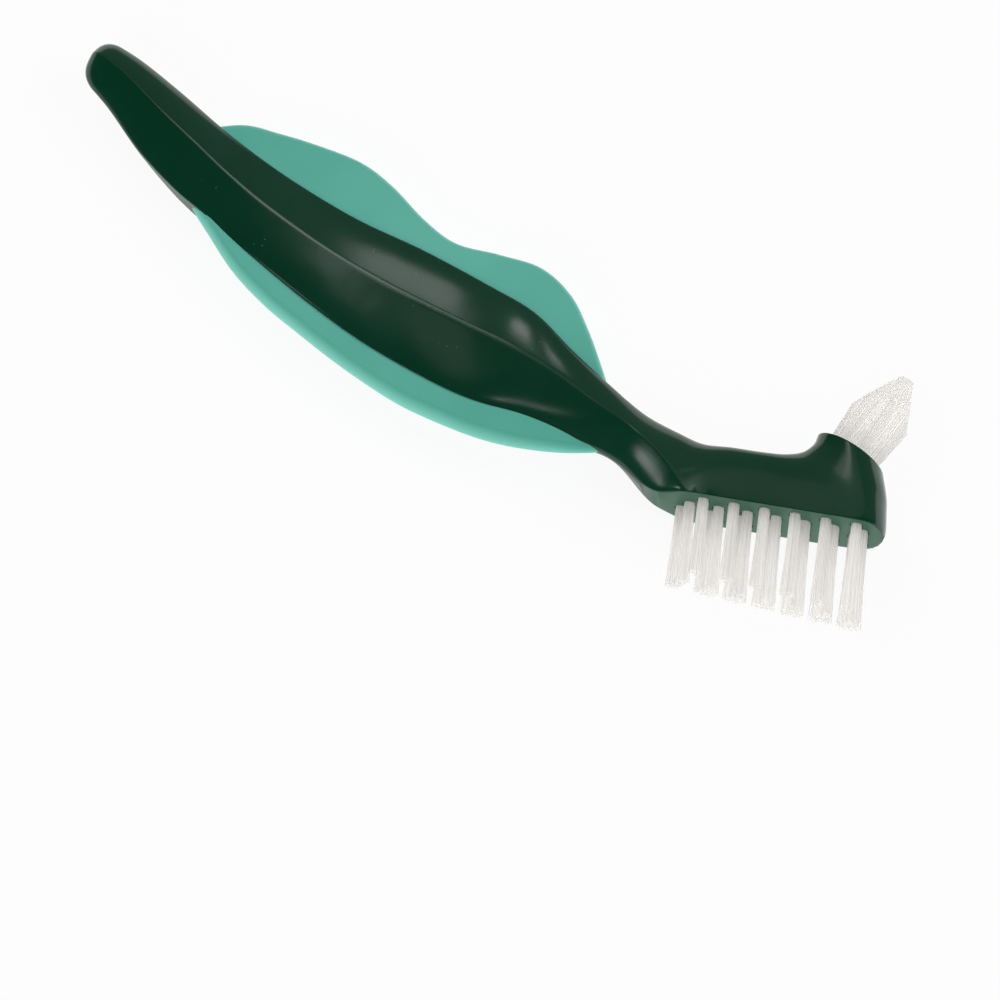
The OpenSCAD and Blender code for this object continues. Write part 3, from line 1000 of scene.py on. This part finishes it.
# %% Give each piece its finish, its body and its node
def dress(piece, material, node):
    """Finish, body, slot and node of a piece."""
    piece.data.materials.clear()
    piece.data.materials.append(material)
    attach(piece, "root")
    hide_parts(node)


dress(handle, make_green_plastic(), "handle")
dress(grip, make_teal_rubber(), "grip")
nylon = make_nylon("clear_nylon", NYLON_BODY)
close_nylon = make_nylon("close_nylon", POINT_BODY)
for node, piece in tuft_pieces.items():
    dress(piece, close_nylon if node.startswith("point") else nylon, node)
    # Clear nylon hands the light on, so one filament does not darken the next
    piece.visible_shadow = False
    piece.visible_diffuse = False
brass = make_brass()
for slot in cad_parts["staples"].material_slots:
    slot.material = brass
print("pieces:", 2 + len(tuft_pieces))

# %% [markdown]
# ## Camera
#
# The photograph was taken from almost straight above with a long lens, so lines that are
# parallel on the brush stay parallel in the picture. The camera is described the same way:
# the direction it looks from, how far the brush is turned in the frame, and how much of
# the table the frame takes in.

# %% Place the camera
PICTURE_SIZE = 1000
PIXELS_PER_MM = 5.4
FRAME_WIDTH = PICTURE_SIZE / PIXELS_PER_MM * MM
TURN_IN_FRAME = math.radians(30.7)
LOOK_FROM = Vector((0.21, -0.355, 0.911)).normalized()
# Point in the middle of the frame, as designed, and how deep below it the camera aims
FRAME_CENTRE = Vector((112.5, -32.8, 0))
MIDDLE_DEPTH = -11
AIM = FRAME_CENTRE + Vector(LYING) + MIDDLE_DEPTH * LOOK_FROM
LENS = 1500
SENSOR = 36
CLIP_RANGE = (0.1, 20)


def camera_axes():
    """Right and up of the picture, for a brush turned clockwise in the frame."""
    along = (Vector((1, 0, 0)) - LOOK_FROM.x * LOOK_FROM).normalized()
    square = LOOK_FROM.cross(along)
    c, s = math.cos(TURN_IN_FRAME), math.sin(TURN_IN_FRAME)
    return c * along + s * square, -s * along + c * square


RIGHT, UP = camera_axes()
camera_data = bpy.data.cameras.new("camera")
camera_data.lens = LENS
camera_data.sensor_width = SENSOR
camera_data.clip_start, camera_data.clip_end = CLIP_RANGE
camera = bpy.data.objects.new("camera", camera_data)
bpy.context.scene.collection.objects.link(camera)
distance = FRAME_WIDTH * LENS / SENSOR
camera.matrix_world = Matrix.Translation(AIM * MM + distance * LOOK_FROM) @ Matrix(
    (RIGHT, UP, LOOK_FROM)).transposed().to_4x4()
bpy.context.scene.camera = camera
print("camera distance in m:", round(distance, 2))

# %% [markdown]
# ## Table and light
#
# The picture has a pure white ground with hardly a shadow. The table is white to the
# camera and to mirror-like rays, with a share of plain diffuse white that keeps a soft
# shadow. Large fill lamps light the colours and stay out of the mirror images on the
# glossy plastic. A dim sky behind the brush and a few small lamps are seen in it instead,
# so the places of its highlights can be chosen one by one.

# %% Table
TABLE_SIZE = 6
TABLE_WHITE = (0.92, 0.92, 0.92, 1)
TABLE_ROUGHNESS = 0.9
# Gap between the brush and the table, in metres
TABLE_GAP = 0.0001
SHADOW_SHARE = 0.08
# The table is lit more than a camera can show, and lights the brush from below
TABLE_GLOW = 2.4


def table_material():
    """White that glows at strength 1 in the picture, and more for what it lights."""
    material, tree, shader = new_material("white_table")
    shader.inputs["Base Color"].default_value = TABLE_WHITE
    shader.inputs["Roughness"].default_value = TABLE_ROUGHNESS
    shader.inputs["Specular IOR Level"].default_value = 0
    rays = tree.nodes.new("ShaderNodeLightPath")
    seen = rays.outputs["Is Camera Ray"]
    for label in ("Is Transmission Ray", "Is Glossy Ray"):
        seen = math_node(tree, "MAXIMUM", seen, rays.outputs[label])
    glow = tree.nodes.new("ShaderNodeEmission")
    tree.links.new(remap(tree, seen, 0, 1, TABLE_GLOW, 1), glow.inputs["Strength"])
    whole = mix_shaders(tree, 1 - SHADOW_SHARE, shader.outputs["BSDF"], glow.outputs["Emission"])
    tree.links.new(whole, tree.nodes["Material Output"].inputs["Surface"])
    return material


def make_table():
    """Flat white table under the brush."""
    h, z = TABLE_SIZE / 2, cad_low.z - TABLE_GAP
    table = add_mesh("table", [(-h, -h, z), (h, -h, z), (h, h, z), (-h, h, z)], [(0, 1, 2, 3)])
    table.data.materials.append(table_material())


make_table()

# %% Sky
SKY_BRIGHT = 0.17
SKY_DARK = 0.02
SKY_TOWARDS = Vector((-0.1, 0.90, 0.30)).normalized()
# How squarely a direction faces the bright part where the sky is dark, and where bright
SKY_RANGE = (0.1, 0.6)


def make_sky():
    """Dim sky, white only to the camera."""
    world = bpy.data.worlds.new("studio")
    world.use_nodes = True
    tree = world.node_tree
    background = tree.nodes["Background"]
    background.inputs["Color"].default_value = (1, 1, 1, 1)
    place = tree.nodes.new("ShaderNodeTexCoord").outputs["Generated"]
    facing = tree.nodes.new("ShaderNodeVectorMath")
    facing.operation = "DOT_PRODUCT"
    facing.inputs[1].default_value = SKY_TOWARDS
    tree.links.new(place, facing.inputs[0])
    level = remap(tree, facing.outputs["Value"], *SKY_RANGE, SKY_DARK, SKY_BRIGHT)
    rays = tree.nodes.new("ShaderNodeLightPath")
    seen = math_node(tree, "MAXIMUM", rays.outputs["Is Camera Ray"], level)
    tree.links.new(seen, background.inputs["Strength"])
    bpy.context.scene.world = world


make_sky()

# %% Lamps
# Each fill: name, direction, size, brightness. It lights the colours and isn't mirrored.
FILLS = [
    ("left_fill", (-0.65, 0.35, 0.65), 1.2, 2.8),
    ("right_fill", (0.65, 0.45, 0.65), 1.2, 2.6),
    ("front_fill", (0.0, -0.80, 0.45), 1.0, 3.2),
]
FILL_DISTANCE = 1.5
# Each glint: name, place of the highlight in millimetres, direction, distance, size,
# brightness, stretch, half the angle of the beam. It is mirrored and lights no colour.
GLINTS = [
    ("ridge_line", (-42, -5, 13), (-0.21, 0.355, 0.911), 0.08, 0.03, 3.6, 4.0, 25),
    ("glow_a", (-15, -11, 12.5), (-0.24, 0.79, 0.56), 0.10, 0.016, 2.5, 1.5, 22),
    ("glow_b", (7, -4, 12), (-0.16, 0.83, 0.54), 0.08, 0.007, 5.0, 1.3, 22),
    ("glow_c", (15, -5, 12), (-0.08, 0.87, 0.48), 0.06, 0.004, 5.0, 1, 22),
    ("neck_glint", (39, -12, 10), (-0.67, -0.51, 0.54), 0.20, 0.030, 5.5, 1, 30),
    ("head_wash", (60, -8, 13), (-0.21, 0.36, 0.91), 0.15, 0.07, 0.22, 1, 40),
    ("head_glow", (72, 5, 13), (-0.45, 0.24, 0.86), 0.20, 0.04, 0.9, 1, 30),
    ("edge_glint", (-30, -3, 12), (-0.25, 0.05, 0.96), 0.6, 0.07, 1.6, 5, 90),
    ("waist_glint", (14, -15, 10), (0.04, -0.38, 0.92), 0.06, 0.004, 6.5, 1, 14),
    ("window", (-2, -14, 12), (-0.16, -0.16, 0.97), 0.12, 0.02, 0.4, 1.5, 25),
]


def soft_lamp(name, aim, direction, distance, size, radiance, stretch=1, beam=90):
    """Lamp of a given brightness on its axis, facing a point given in millimetres.

    Half the angle of its beam is given in degrees. Blender brightens a narrow beam, so that
    it keeps its power, and the energy is cut down to undo that.
    """
    data = bpy.data.lights.new(name, "AREA")
    data.shape = "RECTANGLE"
    data.size = size * stretch
    data.size_y = size
    data.energy = radiance * math.pi * size ** 2 * stretch
    if beam < 90:
        half = math.radians(beam)
        data.spread = 2 * half
        data.energy *= (math.tan(half) - half) / math.tan(half)
    lamp = bpy.data.objects.new(name, data)
    bpy.context.scene.collection.objects.link(lamp)
    way = Vector(direction).normalized()
    lamp.location = Vector(aim) * MM + way * distance
    lamp.rotation_euler = way.to_track_quat("Z", "Y").to_euler()
    lamp.visible_camera = False
    return lamp


for name, direction, size, radiance in FILLS:
    soft_lamp(name, (0, 0, 0), direction, FILL_DISTANCE, size, radiance).visible_glossy = False
for glint in GLINTS:
    soft_lamp(*glint).visible_diffuse = False
print("lamps:", len(FILLS) + len(GLINTS))

# %% Colours as written
bpy.context.scene.view_settings.view_transform = "Standard"
